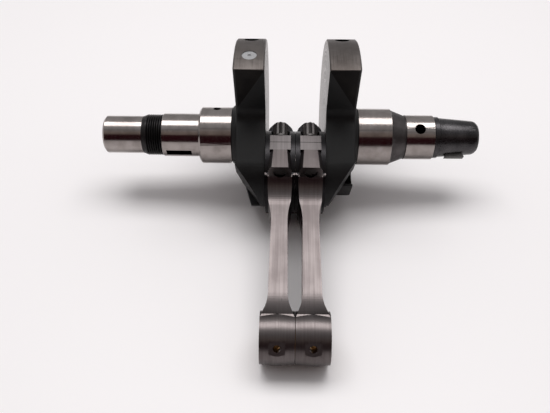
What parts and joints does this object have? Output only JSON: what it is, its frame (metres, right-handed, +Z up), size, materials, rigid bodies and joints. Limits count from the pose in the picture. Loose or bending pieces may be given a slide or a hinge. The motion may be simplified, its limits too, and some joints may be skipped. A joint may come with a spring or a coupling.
{
  "type": "crankshaft",
  "caption": "Forged crankshaft with full counterweights, stepped journals, a threaded and a tapered end, and connecting rods side by side on one crankpin.",
  "frame": {"origin": "on the main axis, at the middle of the left main journal", "axes": "+X along the main axis towards the tapered end, +Z up with the part lying at rest, the rods reaching towards -Y"},
  "size_m": [0.2512, 0.2211, 0.109],
  "materials": {
    "crank_steel": "black as-forged webs, ground and polished journals",
    "slug_metal": "plain machined",
    "plug_steel": "plain machined",
    "key_steel": "plain ground",
    "rod_steel": "satin, slightly pink grey",
    "cap_steel": "dark with machined lug faces",
    "bolt_steel": "dark phosphated",
    "shell_metal": "grey bearing metal on steel",
    "bronze": "plain reamed bronze"
  },
  "bodies": {
    "crank": {"crankshaft": "crank_steel", "balance_slug_left": "slug_metal", "crankpin_plug_left": "plug_steel", "crankpin_plug_right": "plug_steel", "woodruff_key": "key_steel"},
    "left_rod": {"rod_left": "rod_steel", "cap_left": "cap_steel", "rod_bolt_left_upper": "bolt_steel", "rod_bolt_left_lower": "bolt_steel", "bearing_shell_left_rod_half": "shell_metal", "bearing_shell_left_cap_half": "shell_metal", "small_end_bush_left": "bronze"},
    "right_rod": {"rod_right": "rod_steel", "cap_right": "cap_steel", "rod_bolt_right_upper": "bolt_steel", "rod_bolt_right_lower": "bolt_steel", "bearing_shell_right_rod_half": "shell_metal", "bearing_shell_right_cap_half": "shell_metal", "small_end_bush_right": "bronze"}
  },
  "joints": [
    {"name": "left_rod_swing", "type": "hinge", "parent": "crank", "child": "left_rod", "pos_m": [0.0428, -0.02218, -0.01317], "axis": [1, 0, 0], "continuous": true},
    {"name": "right_rod_swing", "type": "hinge", "parent": "crank", "child": "right_rod", "pos_m": [0.0621, -0.02218, -0.01317], "axis": [1, 0, 0], "continuous": true}
  ]
}
